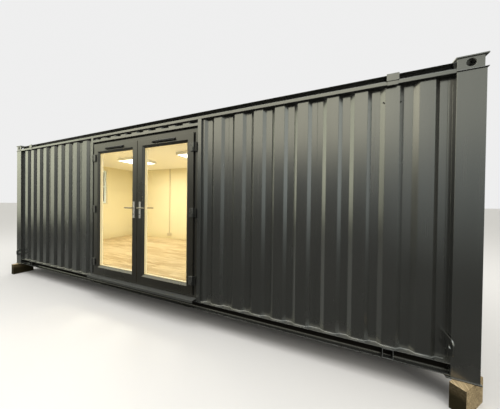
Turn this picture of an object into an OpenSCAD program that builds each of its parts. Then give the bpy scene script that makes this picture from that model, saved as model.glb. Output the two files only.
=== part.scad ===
// Portable site cabin: a steel framed, corrugated, lined cabin with glazed double doors,
// standing on four timber blocks. Millimetres, +Z up. The origin is on the ground at the
// middle of the plan. X runs along the cabin and the doors are on the -Y side.

/* [Cabin] */
// Length over the corner posts
cabin_l = 7315; // [7000:1:8000]
// Depth over the corner posts
cabin_d = 2743; // [2700:1:3000]
// Height from the foot plates to the top of the corner blocks
cabin_h = 2505; // [2495:1:2700]

/* [Timber blocks] */
// Height of a timber block
block_h = 200; // [100:1:300]
// Width of a timber block along the cabin
block_w = 96; // [80:1:140]
// Length of a timber block across the cabin
block_l = 300; // [200:1:600]
// Reach of a timber block in front of the post face
block_out = 85; // [84:1:150]
// Distance of a timber block from the end of the cabin
block_inset = 30; // [10:1:60]
// Turn of the block under the front right corner
block_turn = 42; // [0:1:45]
// Distance that the turned block is set further to the right
turned_right = 16; // [0:1:30]
// Distance that the turned block is set further out
turned_out = 28; // [0:1:40]

/* [Steel frame] */
// Width of a corner post face
post_w = 173; // [150:1:180]
// Plate thickness of the corner posts
post_t = 4; // [3:0.5:6]
// Width of the flange beside a post that carries the wall sheet
post_flange = 29; // [20:1:40]
// Height of the side rails at the floor
floor_rail_h = 95; // [80:1:100]
// Gap from the underside of the foot plates to the floor rails
floor_rail_up = 18; // [10:1:25]
// Height of the roof rails
roof_rail_h = 82; // [60:1:90]
// Drop from the top of the corner blocks to the roof rails
roof_rail_drop = 32; // [20:1:40]
// Height of the upright lip of the roof rails
roof_lip_h = 32; // [20:1:40]
// Depth of every rail, from its outer face inwards
rail_d = 60; // [59:1:61]
// Plate thickness of the rails
rail_t = 6; // [3:0.5:8]
// Overhang of the plates above and below the corner posts, outwards
plate_over = 8; // [0:1:15]
// Overhang of the foot plates beside the corner posts, inwards
foot_over = 30; // [10:1:40]
// Thickness of those plates
plate_t = 10; // [6:1:12]
// Height of a hollow corner block, with its top plate
corner_h = 109; // [100:1:130]
// Diameter of the lifting holes in the corner blocks
lift_hole_d = 60; // [40:1:64]
// Distance of the lifting holes from the corner
lift_hole_in = 90; // [60:1:110]
// Distance of a corner block's end face from the end of the cabin
block_end_in = 13; // [0:1:20]
// Thickness of the thin plate under a corner block
seat_t = 6; // [4:1:7]
// Overhang of the thin plate under a corner block
seat_over = 8; // [0:1:12]

/* [Wall sheets] */
// Distance from the post face to the face of a ridge
ridge_in = 25; // [15:1:28]
// Depth of a corrugation
wave_d = 26; // [20:1:32]
// Width of the flat face of a ridge
ridge_w = 104; // [90:1:106]
// Width of a slope, seen square on
slope_w = 36; // [20:1:40]
// Spacing of ridges within one sheet
wave_pitch = 240; // [230:1:245]
// Width of one pressed sheet
sheet_w = 1000; // [980:1:1010]
// Thickness of the sheet steel
sheet_t = 2; // [1.5:0.5:3]

/* [Lining] */
// Distance from the post face to the outer face of the lining boards
lining_out = 62; // [62:1:64]
// Thickness of the insulated lining
lining_t = 58; // [40:1:80]
// Thickness of the insulated floor
deck_t = 117; // [80:1:120]
// Thickness of the floor covering
covering_t = 15; // [8:1:17]
// Clear height of the room
room_h = 2110; // [2060:1:2114]
// Thickness of the insulated ceiling
ceiling_t = 39; // [30:1:42]

/* [Doorway] */
// Clear width between the steel door posts
doorway_w = 2090; // [2080:1:2120]
// Width of a steel door post
jamb_w = 50; // [44:1:70]
// Height of the steel header above the doors
header_h = 34; // [30:1:50]
// Height of the corrugated strip above the header
strip_h = 43; // [30:1:60]
// Gap between the header and the door frame
head_gap = 22; // [5:1:25]
// Width of the door frame at its sides
door_frame_w = 60; // [50:1:70]
// Distance from the post face to the face of the door frame
door_frame_in = 6; // [5:1:12]
// Depth of the door frame
door_frame_d = 70; // [60:1:80]
// Height of the sill above the underside of the cabin
sill_h = 156; // [140:1:160]
// Height of the door frame's bottom member
threshold_h = 54; // [40:1:60]
// Reach of the folded sill in front of the post face
sill_out = 80; // [60:1:83]
// Height of the sill's front lip
sill_lip = 30; // [20:1:40]

/* [Door leaves] */
// Distance from a steel door post to the hinge pins beside it
pin_in = 48; // [45:1:52]
// Distance of the hinge pins in front of the post face
pin_out = 20; // [20:1:24]
// Height of the leaves above the sill
leaf_up = 31; // [25:1:34]
// Gap between the header and the top of the leaves
leaf_drop = 78; // [74:1:90]
// Gap between the edge of a leaf and the line of its hinge pins
leaf_edge_gap = 7; // [7:1:9]
// Gap between the two leaves
leaf_gap = 12; // [12:1:16]
// Distance of the leaf faces in front of the post face
leaf_out = 12; // [8:1:12]
// Overlap of a leaf over the door frame
leaf_lap = 22; // [15:1:25]
// Thickness of a leaf
leaf_t = 72; // [60:1:76]
// Width of a leaf's sides, on the face
stile_w = 88; // [70:1:100]
// Height of a leaf's bottom rail
leaf_bottom_h = 102; // [80:1:140]
// Height of a leaf's top rail
leaf_top_h = 85; // [80:1:100]
// Width of the sloping glazing bead
bead_w = 26; // [15:1:30]
// Thickness of the double glazing
glass_t = 28; // [20:1:30]
// Distance from the face of a leaf to its glass
glass_in = 27; // [20:1:35]
// Overlap of a leaf over the head of the door frame
head_lap = 10; // [6:1:12]
// Length of a hinge
hinge_l = 113; // [90:1:130]
// Width of the part of a hinge that lies on a leaf
leaf_flag_w = 45; // [35:1:48]
// Thickness of the part of a hinge that lies on a leaf
leaf_flag_t = 14; // [10:1:15]
// Thickness of the part of a hinge that lies on the door frame
frame_flag_t = 20; // [14:1:20]
// Distance of the upper and lower hinges from the ends of a leaf
hinge_end = 185; // [120:1:250]
// Height of the middle hinges above halfway
hinge_lift = 15; // [0:1:60]
// Height of the handle spindles above the underside of the cabin
handle_z = 1265; // [1200:1:1300]
// Distance of the handles from the middle of the doorway
handle_x = 62; // [60:1:70]
// Length of a lever
lever_l = 130; // [110:1:140]
// Distance of the outer lever from its plate
outer_grip = 38; // [30:1:45]
// Distance of the inner lever from its plate
inner_grip = 23; // [20:1:40]
// Width of a handle plate
handle_plate_w = 28; // [24:1:32]
// Reach of a handle plate above the spindle
plate_above = 91; // [60:1:120]
// Reach of a handle plate below the spindle
plate_below = 145; // [100:1:200]
// Length of the trickle vent on a leaf
vent_l = 400; // [300:1:500]
// Height of the trickle vent
vent_h = 34; // [25:1:36]
// Reach of the trickle vent in front of a leaf
vent_out = 20; // [12:1:25]
// Distance from the top of a leaf to the foot of its trickle vent
vent_drop = 66; // [50:1:70]

/* [End window] */
// Width of the window opening
window_w = 790; // [600:1:860]
// Height of the window opening
window_h = 940; // [600:1:1200]
// Distance from the ceiling to the top of the window opening
window_drop = 115; // [60:1:250]
// Width of the window frame
window_frame_w = 40; // [30:1:60]
// Height of the transom above the foot of the window
transom_up = 461; // [300:1:520]
// Height of the transom
transom_h = 30; // [20:1:60]
// Distance from the post face to the face of the window frame
window_in = 30; // [21:1:50]
// Depth of the window frame
window_frame_d = 60; // [50:1:65]

/* [Fittings] */
// Distance of the drain outlets from the ends of the cabin
drain_in = 590; // [500:1:700]
// Width of a drain outlet
drain_w = 82; // [60:1:90]
// Height of a lashing lug
lug_h = 130; // [110:1:190]
// Height of the lashing lugs above the underside of the cabin
lug_up = 195; // [150:1:250]
// Reach of the lashing lugs in front of the post face
lug_out = 66; // [60:1:80]
// Distance of the lashing holes in front of the post face
lug_hole_out = 22; // [21:1:26]
// Diameter of the lashing holes
lug_hole_d = 40; // [20:1:40]
// Width of a square ceiling light
light_w = 595; // [295:1:600]
// Depth of a ceiling light below the ceiling
light_h = 53; // [11:1:60]
// Distance of the socket from the left end
socket_in = 1700; // [500:1:3000]
// Width of the socket
socket_w = 146; // [86:1:150]
// Height of the socket
socket_h = 86; // [80:1:100]
// Height of the socket's top above the floor
socket_up = 170; // [150:1:600]

/* [Hidden] */
$fn = 48;

// Half sizes and heights that the modules share
half_l = cabin_l / 2;
half_d = cabin_d / 2;
base_z = block_h;
rail_z = base_z + floor_rail_up;
rail_top = rail_z + floor_rail_h;
top_z = base_z + cabin_h;
corner_z = top_z - corner_h;
post_z = base_z + plate_t;
roof_rail_z = top_z - roof_rail_drop - roof_rail_h;
deck_top = rail_top + deck_t;
floor_z = deck_top + covering_t;
ceiling_z = floor_z + room_h;
valley_in = ridge_in + wave_d;
lining_in = lining_out + lining_t;
sheet_end = post_w + post_flange;
slack = 1;
hair = 0.3;

// Ridge positions. Whole sheets are laid from both ends and a narrower one closes the middle.
ridge_half = ridge_w / 2;
ridge_foot = ridge_half + slope_w;
first_ridge = (sheet_w - 3 * wave_pitch) / 2;
function even_ridges(width) = [
    let (n = floor((width - 2 * ridge_foot) / wave_pitch) + 1)
    for (i = [0:n - 1]) (i - (n - 1) / 2) * wave_pitch
];
function side_ridges(half_width) = [
    for (sheet = [0:floor(half_width / sheet_w) - 1], i = [0:3])
        half_width - sheet * sheet_w - first_ridge - i * wave_pitch
];
long_half = half_l - sheet_end;
closing_w = 2 * (long_half - floor(long_half / sheet_w) * sheet_w);
right_ridges = side_ridges(long_half);
long_ridges = concat(
    [for (c = right_ridges) -c],
    even_ridges(closing_w),
    [for (i = [len(right_ridges) - 1:-1:0]) right_ridges[i]]
);
end_half = half_d - sheet_end;

// Doorway and leaves
half_door = doorway_w / 2;
door_post_edge = half_door + jamb_w;
header_z = roof_rail_z - strip_h - header_h;
frame_half = half_door - 5;
frame_inner = frame_half - door_frame_w;
sill_z = base_z + sill_h;
threshold_top = sill_z + threshold_h;
frame_top = header_z - head_gap;
leaf_z = sill_z + leaf_up;
leaf_top = header_z - leaf_drop;
pin_x = half_door - pin_in;
leaf_edge = pin_x - leaf_edge_gap;
leaf_back = leaf_edge - leaf_lap;
frame_head_z = leaf_top - head_lap;
leaf_y = -half_d - leaf_out;
leaf_seal = 5;
leaf_step = door_frame_in + leaf_out - leaf_seal;
glass_y = leaf_y + glass_in;
pane_x0 = leaf_gap / 2 + stile_w + 2;
pane_x1 = leaf_edge - stile_w;
pane_z0 = leaf_z + leaf_bottom_h;
pane_z1 = leaf_top - leaf_top_h;
pin_y = -half_d - pin_out;
hinge_r = 10;
hinge_pin_r = 4;
hinge_zs = [leaf_z + hinge_end, (leaf_z + leaf_top) / 2 + hinge_lift, leaf_top - hinge_end];
spindle_r = 4.5;
plate_proud = 9;

steel = "#3a3f44";
timber = "#7a5c3c";
lining_colour = "#efe4c8";
laminate = "#c9a877";
alloy = "#3b3e42";
bright = "#c8c9ca";
clear_glass = "#c8dcdc";
white = "#f2f2ee";
zinc = "#b0b3b5";

// Repeats its children at the four corners, which are modelled at +X +Y
module four_corners() {
    for (mx = [0, 1], my = [0, 1])
        mirror([mx, 0, 0])
            mirror([0, my, 0])
                children();
}

// A box given by its two far corners
module span(low, high) {
    translate(low)
        cube(high - low);
}

function ridge_points(c) = [
    [c - ridge_half - slope_w, valley_in],
    [c - ridge_half, ridge_in],
    [c + ridge_half, ridge_in],
    [c + ridge_half + slope_w, valley_in]
];

// The sheet seen from above, from its outer outline and its thickness
module sheet_plan(outline) {
    inner = [for (i = [len(outline) - 1:-1:0]) outline[i] + [0, sheet_t]];
    polygon(concat(outline, inner));
}

// A sheet that stands on the floor rail. u runs along the wall and v into the cabin.
module wall_sheet(outline, z0, z1) {
    translate([0, 0, z0])
        linear_extrude(z1 - z0)
            sheet_plan(outline);
}

function full_outline(half_width, centres) = concat(
    [[-half_width, valley_in]],
    [for (c = centres) each ridge_points(c)],
    [[half_width, valley_in]]
);

// A whole long wall, from post to post
module long_sheet(z0, z1) {
    wall_sheet(full_outline(long_half, long_ridges), z0, z1);
}

// A whole end wall, from post to post
module end_sheet() {
    wall_sheet(full_outline(end_half, even_ridges(2 * end_half)), rail_top, roof_rail_z);
}

// The block under the rear right corner, square to the cabin
module square_block() {
    span([half_l - block_inset - block_w, half_d + block_out - block_l, 0],
         [half_l - block_inset, half_d + block_out, block_h]);
}

// The block under the front right corner, turned and set further out
module turned_block() {
    translate([half_l - block_inset - block_w / 2 + turned_right,
               -half_d - block_out + block_l / 2 - turned_out, block_h / 2])
        rotate([0, 0, -block_turn])
            cube([block_w, block_l, block_h], center = true);
}

// The blocks at the left end match those diagonally across
module timber_blocks() {
    color(timber)
        for (half_turn = [0, 180])
            rotate([0, 0, half_turn]) {
                square_block();
                turned_block();
            }
}

module foot_plates() {
    color(steel)
        four_corners()
            span([half_l - post_w - foot_over, half_d - post_w - foot_over, base_z],
                 [half_l + plate_over, half_d + plate_over, base_z + plate_t]);
}

// One wing of a folded post: face, return and, from the floor rail to the roof rail, a flange
module post_wing(height) {
    span([-post_w, -post_t, 0], [0, 0, height]);
    span([-post_w, -valley_in - post_t, 0], [-post_w + post_t, 0, height]);
    span([-sheet_end, -valley_in - post_t, rail_top - post_z],
         [-post_w, -valley_in, roof_rail_z - post_z]);
}

module corner_posts() {
    color(steel)
        four_corners()
            translate([half_l, half_d, post_z]) {
                post_wing(corner_z - post_z);
                mirror([1, -1, 0])
                    post_wing(corner_z - post_z);
            }
}

// A hollow block on a thin seat, under a top plate. Its end face is set in from the post.
module corner_block() {
    top_plate_z = corner_h - plate_t;
    hole_z = top_plate_z / 2 + 6;
    wall = 8;
    difference() {
        union() {
            span([-post_w, -post_w, 0], [-block_end_in, 0, top_plate_z]);
            span([-post_w, -post_w, 0], [seat_over, seat_over, seat_t]);
            span([-post_w - plate_over, -post_w - plate_over, top_plate_z],
                 [plate_over, plate_over, corner_h]);
        }
        span([-post_w - 1, -post_w - 1, wall], [-block_end_in - wall, -wall, top_plate_z]);
        translate([-lift_hole_in, 1, hole_z])
            rotate([90, 0, 0])
                cylinder(h = wall + 2, d = lift_hole_d);
        translate([-block_end_in + 1, -lift_hole_in, hole_z])
            rotate([0, -90, 0])
                cylinder(h = wall + 2, d = lift_hole_d);
    }
}

module corner_blocks() {
    color(steel)
        four_corners()
            translate([half_l, half_d, corner_z])
                corner_block();
}

// A channel that opens outwards, along X, with its outer face at y = 0
module floor_rail(start, end) {
    translate([start, 0, rail_z])
        rotate([90, 0, 90])
            linear_extrude(end - start)
                polygon([
                    [0, 0], [rail_d, 0], [rail_d, floor_rail_h], [0, floor_rail_h],
                    [0, floor_rail_h - rail_t], [rail_d - rail_t, floor_rail_h - rail_t],
                    [rail_d - rail_t, rail_t], [0, rail_t]
                ]);
}

// A rail with a thin top flange, a recessed band and an upright lip flush with the posts
module roof_rail(half_length) {
    thin = 3;
    translate([-half_length, 0, roof_rail_z])
        rotate([90, 0, 90])
            linear_extrude(2 * half_length)
                polygon([
                    [0, 0], [rail_d, 0], [rail_d, roof_rail_h], [0, roof_rail_h],
                    [0, roof_rail_h - thin], [rail_d - 2 * rail_t, roof_rail_h - thin],
                    [rail_d - 2 * rail_t, roof_lip_h], [0, roof_lip_h]
                ]);
}

long_rail_half = half_l - post_w - slack;
spout_x = half_l - drain_in;
end_rail_half = half_d - post_w - slack;

// Puts what is modelled along X on the front, rear or an end of the cabin
module at_front() {
    translate([0, -half_d, 0])
        children();
}

module at_rear() {
    translate([0, half_d, 0])
        rotate([0, 0, 180])
            children();
}

module at_left_end() {
    translate([-half_l, 0, 0])
        rotate([0, 0, -90])
            children();
}

module at_right_end() {
    translate([half_l, 0, 0])
        rotate([0, 0, 90])
            children();
}

// The front rail is in three lengths, joined by the drain outlets
module floor_rails() {
    color(steel) {
        at_front() {
            floor_rail(-long_rail_half, -spout_x - drain_w / 2);
            floor_rail(-spout_x + drain_w / 2, spout_x - drain_w / 2);
            floor_rail(spout_x + drain_w / 2, long_rail_half);
        }
        at_rear()
            floor_rail(-long_rail_half, long_rail_half);
        at_left_end()
            floor_rail(-end_rail_half, end_rail_half);
        at_right_end()
            floor_rail(-end_rail_half, end_rail_half);
    }
}

module floor_joists() {
    joist_count = 11;
    joist_w = 50;
    joist_step = (cabin_l - 2 * rail_d) / (joist_count + 1);
    color(steel)
        for (i = [1:joist_count])
            translate([-half_l + rail_d + i * joist_step, 0, 0])
                span([-joist_w / 2, -half_d + rail_d, rail_z + rail_t],
                     [joist_w / 2, half_d - rail_d, rail_top]);
}

module roof_rails() {
    color(steel) {
        at_front()
            roof_rail(long_rail_half);
        at_rear()
            roof_rail(long_rail_half);
        at_left_end()
            roof_rail(end_rail_half);
        at_right_end()
            roof_rail(end_rail_half);
    }
}

// The front sheet from a door post to a corner post
module front_wall_right() {
    color(steel)
        at_front()
            intersection() {
                long_sheet(rail_top, roof_rail_z);
                span([door_post_edge, 0, rail_top], [half_l, lining_out, roof_rail_z]);
            }
}

module front_wall_left() {
    color(steel)
        mirror([1, 0, 0])
            at_front()
                intersection() {
                    long_sheet(rail_top, roof_rail_z);
                    span([door_post_edge, 0, rail_top], [half_l, lining_out, roof_rail_z]);
                }
}

// The short sheet above the header
module front_wall_over_door() {
    color(steel)
        at_front()
            intersection() {
                long_sheet(header_z + header_h, roof_rail_z);
                span([-half_door, 0, header_z], [half_door, lining_out, roof_rail_z]);
            }
}

module rear_wall() {
    color(steel)
        at_rear()
            long_sheet(rail_top, roof_rail_z);
}

surround_w = 35;
window_foot = ceiling_z - window_drop - window_h;
surround_half = window_w / 2 + surround_w;

// Clears the window opening and its surround out of a wall at the left end
module window_cut() {
    translate([-half_l - 1, -surround_half, window_foot - surround_w])
        cube([lining_in + 2, 2 * surround_half, window_h + 2 * surround_w]);
}

module left_end_wall() {
    color(steel)
        difference() {
            at_left_end()
                end_sheet();
            window_cut();
        }
}

module right_end_wall() {
    color(steel)
        at_right_end()
            end_sheet();
}

// Sheet steel with low ribs across the cabin
module roof_sheet() {
    rib_h = 16;
    rib_w = 60;
    rib_slope = 16;
    rib_count = 15;
    rib_step = (cabin_l - 2 * lining_out) / rib_count;
    sheet_z = ceiling_z + ceiling_t;
    function rib(c) = [
        [c - rib_w / 2 - rib_slope, 0], [c - rib_w / 2, rib_h],
        [c + rib_w / 2, rib_h], [c + rib_w / 2 + rib_slope, 0]
    ];
    half_roof = half_l - rail_d - 2;
    ribs = [for (i = [0:rib_count - 1]) each rib(-half_l + lining_out + (i + 0.5) * rib_step)];
    outline = concat([[-half_roof, 0]], ribs, [[half_roof, 0]]);
    inner = [for (i = [len(outline) - 1:-1:0]) outline[i] + [0, sheet_t]];
    color(steel)
        difference() {
            translate([0, half_d - rail_d - 2, sheet_z])
                rotate([90, 0, 0])
                    linear_extrude(2 * (half_d - rail_d - 2))
                        polygon(concat(outline, inner));
            four_corners()
                span([half_l - post_w - 2, half_d - post_w - 2, sheet_z - 5],
                     [half_l, half_d, sheet_z + 60]);
        }
}

// Space that the door frame and the sill take out of the floor
frame_back = door_frame_in + door_frame_d + slack;
module doorway_notch() {
    span([-half_door, -half_d - 1, sill_z - 6], [half_door, -half_d + frame_back, floor_z + 1]);
}

module floor_deck() {
    color(laminate)
        difference() {
            span([-half_l + lining_out, -half_d + lining_out, rail_top],
                 [half_l - lining_out, half_d - lining_out, deck_top]);
            doorway_notch();
        }
}

module floor_covering() {
    color(laminate) {
        span([-half_l + lining_in, -half_d + lining_in, deck_top],
             [half_l - lining_in, half_d - lining_in, floor_z]);
        span([-half_door + hair, -half_d + frame_back, deck_top],
             [half_door - hair, -half_d + lining_in, floor_z]);
    }
}

module ceiling() {
    color(white)
        span([-half_l + lining_out, -half_d + lining_out, ceiling_z],
             [half_l - lining_out, half_d - lining_out, ceiling_z + ceiling_t]);
}

module front_lining() {
    color(lining_colour) {
        for (mx = [0, 1])
            mirror([mx, 0, 0])
                span([half_door, -half_d + lining_out, deck_top],
                     [half_l - lining_in, -half_d + lining_in, ceiling_z]);
        span([-half_door + hair, -half_d + lining_out, frame_top],
             [half_door - hair, -half_d + lining_in, ceiling_z]);
    }
}

module rear_lining() {
    color(lining_colour)
        span([-half_l + lining_in, half_d - lining_in, deck_top],
             [half_l - lining_in, half_d - lining_out, ceiling_z]);
}

module end_lining() {
    span([half_l - lining_in, -half_d + lining_out, deck_top],
         [half_l - lining_out, half_d - lining_out, ceiling_z]);
}

module right_end_lining() {
    color(lining_colour)
        end_lining();
}

module left_end_lining() {
    color(lining_colour)
        difference() {
            mirror([1, 0, 0])
                end_lining();
            window_cut();
        }
}

// Steel posts and a header box around the doorway
module door_surround() {
    color(steel) {
        for (side = [-1, 1])
            translate([side * (half_door + jamb_w / 2), 0, 0])
                span([-jamb_w / 2, -half_d, rail_top], [jamb_w / 2, -half_d + rail_d, roof_rail_z]);
        span([-half_door + hair, -half_d, header_z],
             [half_door - hair, -half_d + rail_d, header_z + header_h]);
    }
}

module door_frame() {
    color(alloy)
        at_front()
            difference() {
                span([-frame_half, door_frame_in, sill_z],
                     [frame_half, door_frame_in + door_frame_d, frame_top]);
                span([-frame_inner, door_frame_in - 1, threshold_top],
                     [frame_inner, door_frame_in + door_frame_d + 1, frame_head_z]);
            }
}

// A folded plate under the door frame that carries water past the floor rail
module door_sill() {
    fold = 5;
    leg = 12;
    leg_h = sill_z - rail_top;
    color(steel)
        translate([-half_door + hair, -half_d, sill_z])
            rotate([90, 0, 90])
                linear_extrude(doorway_w - 2 * hair)
                    polygon([
                        [-sill_out, 0], [frame_back, 0], [frame_back, -fold],
                        [leg + fold, -fold], [leg + fold, -leg_h], [leg, -leg_h],
                        [leg, -fold], [-sill_out + fold, -fold], [-sill_out + fold, -sill_lip],
                        [-sill_out, -sill_lip]
                    ]);
}

hinge_low = hinge_l * 0.4;
flag_cut = 8;

// Half of a hinge that stays on the door frame, with its pin, for the leaf at +X
module frame_hinge() {
    back = pin_out + door_frame_in;
    translate([pin_x, pin_y, -hinge_l / 2]) {
        cylinder(h = hinge_low, r = hinge_r);
        cylinder(h = hinge_l - 4, r = hinge_pin_r);
        span([0, 0, 0], [hinge_r + slack, back, hinge_low]);
        span([hinge_r + slack, back - frame_flag_t, 0], [frame_half - pin_x, back, hinge_l]);
    }
}

// Half of a hinge that turns with the leaf, for the leaf at +X. The flag's outer corners are cut.
module leaf_hinge() {
    low = hinge_low + slack;
    back = pin_out - leaf_out;
    near = -hinge_r - slack;
    far = near - leaf_flag_w;
    translate([pin_x, pin_y, -hinge_l / 2]) {
        difference() {
            union() {
                translate([0, 0, low])
                    cylinder(h = hinge_l - low, r = hinge_r);
                span([near, back - leaf_flag_t, low], [0, back, hinge_l]);
            }
            translate([0, 0, -1])
                cylinder(h = hinge_l - 2, r = hinge_pin_r + hair);
        }
        translate([0, back, 0])
            rotate([90, 0, 0])
                linear_extrude(leaf_flag_t)
                    polygon([
                        [near, 0], [near, hinge_l], [far + flag_cut, hinge_l],
                        [far, hinge_l - flag_cut], [far, flag_cut], [far + flag_cut, 0]
                    ]);
    }
}

module frame_hinges() {
    color(alloy)
        for (mx = [0, 1], z = hinge_zs)
            mirror([mx, 0, 0])
                translate([0, 0, z])
                    frame_hinge();
}

// The frame of a leaf at +X, with a lap in front of the door frame
module leaf_frame() {
    difference() {
        union() {
            span([leaf_gap / 2, leaf_y, leaf_z], [leaf_edge, leaf_y + leaf_step, leaf_top]);
            span([leaf_gap / 2, leaf_y + leaf_step, threshold_top + leaf_seal + slack],
                 [leaf_back, leaf_y + leaf_t, leaf_top - leaf_lap]);
        }
        span([pane_x0, leaf_y - 1, pane_z0], [pane_x1, glass_y + glass_t, pane_z1]);
        span([pane_x0 + bead_w, leaf_y, pane_z0 + bead_w],
             [pane_x1 - bead_w, leaf_y + leaf_t + 1, pane_z1 - bead_w]);
        translate([handle_x, leaf_y - 1, base_z + handle_z])
            rotate([-90, 0, 0])
                cylinder(h = leaf_t + 2, r = spindle_r + hair);
    }
}

module leaf_glass() {
    span([pane_x0, glass_y, pane_z0], [pane_x1, glass_y + glass_t, pane_z1]);
}

// The bead seen end on: the distance from the face, then the distance from the leaf's frame
bead_face = glass_y - leaf_y;
bead_profile = [[3, 0], [bead_face, 0], [bead_face, bead_w], [bead_face - 5, bead_w]];

// A bead along z, from its own foot to the glass
module upright_bead(side) {
    linear_extrude(pane_z1 - pane_z0)
        polygon([for (p = bead_profile) [side * p[1], p[0]]]);
}

// A bead along x
module level_bead(side) {
    rotate([90, 0, 90])
        linear_extrude(pane_x1 - pane_x0)
            polygon([for (p = bead_profile) [p[0], side * p[1]]]);
}

module leaf_body() {
    leaf_frame();
    translate([0, leaf_y, 0]) {
        translate([pane_x0, 0, pane_z0])
            upright_bead(1);
        translate([pane_x1, 0, pane_z0])
            upright_bead(-1);
        translate([pane_x0, 0, pane_z0])
            level_bead(1);
        translate([pane_x0, 0, pane_z1])
            level_bead(-1);
    }
}

module leaf_hinges() {
    for (z = hinge_zs)
        translate([0, 0, z])
            leaf_hinge();
}

// A hooded trickle vent on the top rail
module leaf_vent() {
    lip = 4;
    crown = 5;
    translate([(leaf_gap / 2 + leaf_edge - vent_l) / 2, leaf_y, leaf_top - vent_drop])
        rotate([90, 0, 90])
            linear_extrude(vent_l)
                polygon([[0, 0], [-vent_out, 0], [-vent_out, lip], [-crown, vent_h], [0, vent_h]]);
}

// Long backplates inside and outside, bored for the spindle
module handle_plates() {
    spindle_z = base_z + handle_z;
    difference() {
        for (y = [leaf_y - plate_proud, leaf_y + leaf_t])
            span([handle_x - handle_plate_w / 2, y, spindle_z - plate_below],
                 [handle_x + handle_plate_w / 2, y + plate_proud, spindle_z + plate_above]);
        translate([handle_x, leaf_y - plate_proud - 1, spindle_z])
            rotate([-90, 0, 0])
                cylinder(h = leaf_t + 2 * plate_proud + 2, r = spindle_r + hair);
    }
}

// Spindle with a lever on each side, pointing at the hinges
module lever() {
    rod = 9;
    clear = 2;
    outer_y = -outer_grip - plate_proud;
    inner_y = leaf_t + plate_proud + inner_grip;
    translate([handle_x, leaf_y, base_z + handle_z]) {
        translate([0, outer_y, 0])
            rotate([-90, 0, 0])
                cylinder(h = inner_y - outer_y, r = spindle_r);
        for (y = [outer_y, inner_y])
            translate([0, y, 0]) {
                rotate([0, 90, 0])
                    cylinder(h = lever_l, r = rod);
                sphere(r = rod);
                translate([lever_l, 0, 0])
                    sphere(r = rod);
            }
        translate([0, outer_y, 0])
            rotate([-90, 0, 0])
                cylinder(h = outer_grip - clear, r = rod);
        translate([0, inner_y - inner_grip + clear, 0])
            rotate([-90, 0, 0])
                cylinder(h = inner_grip - clear, r = rod);
    }
}

module right_leaf() {
    color(alloy)
        leaf_body();
}

module left_leaf() {
    color(alloy)
        mirror([1, 0, 0])
            leaf_body();
}

module right_leaf_glass() {
    color(clear_glass)
        leaf_glass();
}

module left_leaf_glass() {
    color(clear_glass)
        mirror([1, 0, 0])
            leaf_glass();
}

module right_leaf_hinges() {
    color(alloy)
        leaf_hinges();
}

module left_leaf_hinges() {
    color(alloy)
        mirror([1, 0, 0])
            leaf_hinges();
}

module right_leaf_vent() {
    color(alloy)
        leaf_vent();
}

module left_leaf_vent() {
    color(alloy)
        mirror([1, 0, 0])
            leaf_vent();
}

module right_handle_plates() {
    color(bright)
        handle_plates();
}

module left_handle_plates() {
    color(bright)
        mirror([1, 0, 0])
            handle_plates();
}

module right_lever() {
    color(bright)
        lever();
}

module left_lever() {
    color(bright)
        mirror([1, 0, 0])
            lever();
}

// The steel ring that lines the window opening through the wall
module window_surround() {
    proud = 20;
    color(steel)
        difference() {
            translate([-half_l + proud, -surround_half, window_foot - surround_w])
                cube([lining_in - proud, 2 * surround_half, window_h + 2 * surround_w]);
            translate([-half_l, -window_w / 2, window_foot])
                cube([lining_in + 1, window_w, window_h]);
        }
}

window_y0 = -window_w / 2;
window_lights = [
    [window_frame_w, transom_up],
    [transom_up + transom_h, window_h - window_frame_w]
];

module window_frame() {
    frame_x = -half_l + window_in;
    color(alloy)
        difference() {
            translate([frame_x, window_y0, window_foot])
                cube([window_frame_d, window_w, window_h]);
            for (z = window_lights)
                translate([frame_x - 1, window_y0 + window_frame_w, window_foot + z[0]])
                    cube([window_frame_d + 2, window_w - 2 * window_frame_w, z[1] - z[0]]);
        }
}

// The panes stand in the middle of the frame's depth
module window_glass() {
    pane_x = -half_l + window_in + (window_frame_d - glass_t) / 2;
    color(clear_glass)
        for (z = window_lights)
            translate([pane_x, window_y0 + window_frame_w, window_foot + z[0]])
                cube([glass_t, window_w - 2 * window_frame_w, z[1] - z[0]]);
}

// Rounded plates with a hole, in the recess beside each corner post
module lashing_lugs() {
    lug_t = 10;
    lug_x = half_l - post_w - 8;
    tip_r = 40;
    color(steel)
        four_corners()
            translate([lug_x, half_d, base_z + lug_up])
                rotate([90, 0, -90])
                    linear_extrude(lug_t)
                        difference() {
                            union() {
                                translate([-lug_out + tip_r, tip_r])
                                    circle(r = tip_r);
                                translate([-lug_out + tip_r, lug_h - tip_r])
                                    circle(r = tip_r);
                                translate([-lug_out, tip_r])
                                    square([lug_out + valley_in, lug_h - 2 * tip_r]);
                                translate([-lug_out + tip_r, 0])
                                    square([lug_out - tip_r + valley_in, lug_h]);
                            }
                            translate([-lug_hole_out, lug_h / 2])
                                circle(d = lug_hole_d);
                        }
}

// Plates that bridge the recess of the long roof rails above the drain outlets. A thinner tongue
// hangs below each, in front of the wall.
module rail_brackets() {
    bracket_w = 90;
    proud = 8;
    foot = 28;
    over_top = 8;
    tongue_in = 6;
    tongue_t = 4;
    tongue_foot = -8;
    color(steel)
        for (mx = [0, 1])
            mirror([mx, 0, 0])
                translate([spout_x, -half_d, roof_rail_z]) {
                    span([-bracket_w / 2, -proud, foot],
                         [bracket_w / 2, 0, roof_rail_h + over_top]);
                    span([-bracket_w / 2 + tongue_in, -tongue_t, tongue_foot],
                         [bracket_w / 2 - tongue_in, 0, foot]);
                }
}

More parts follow.
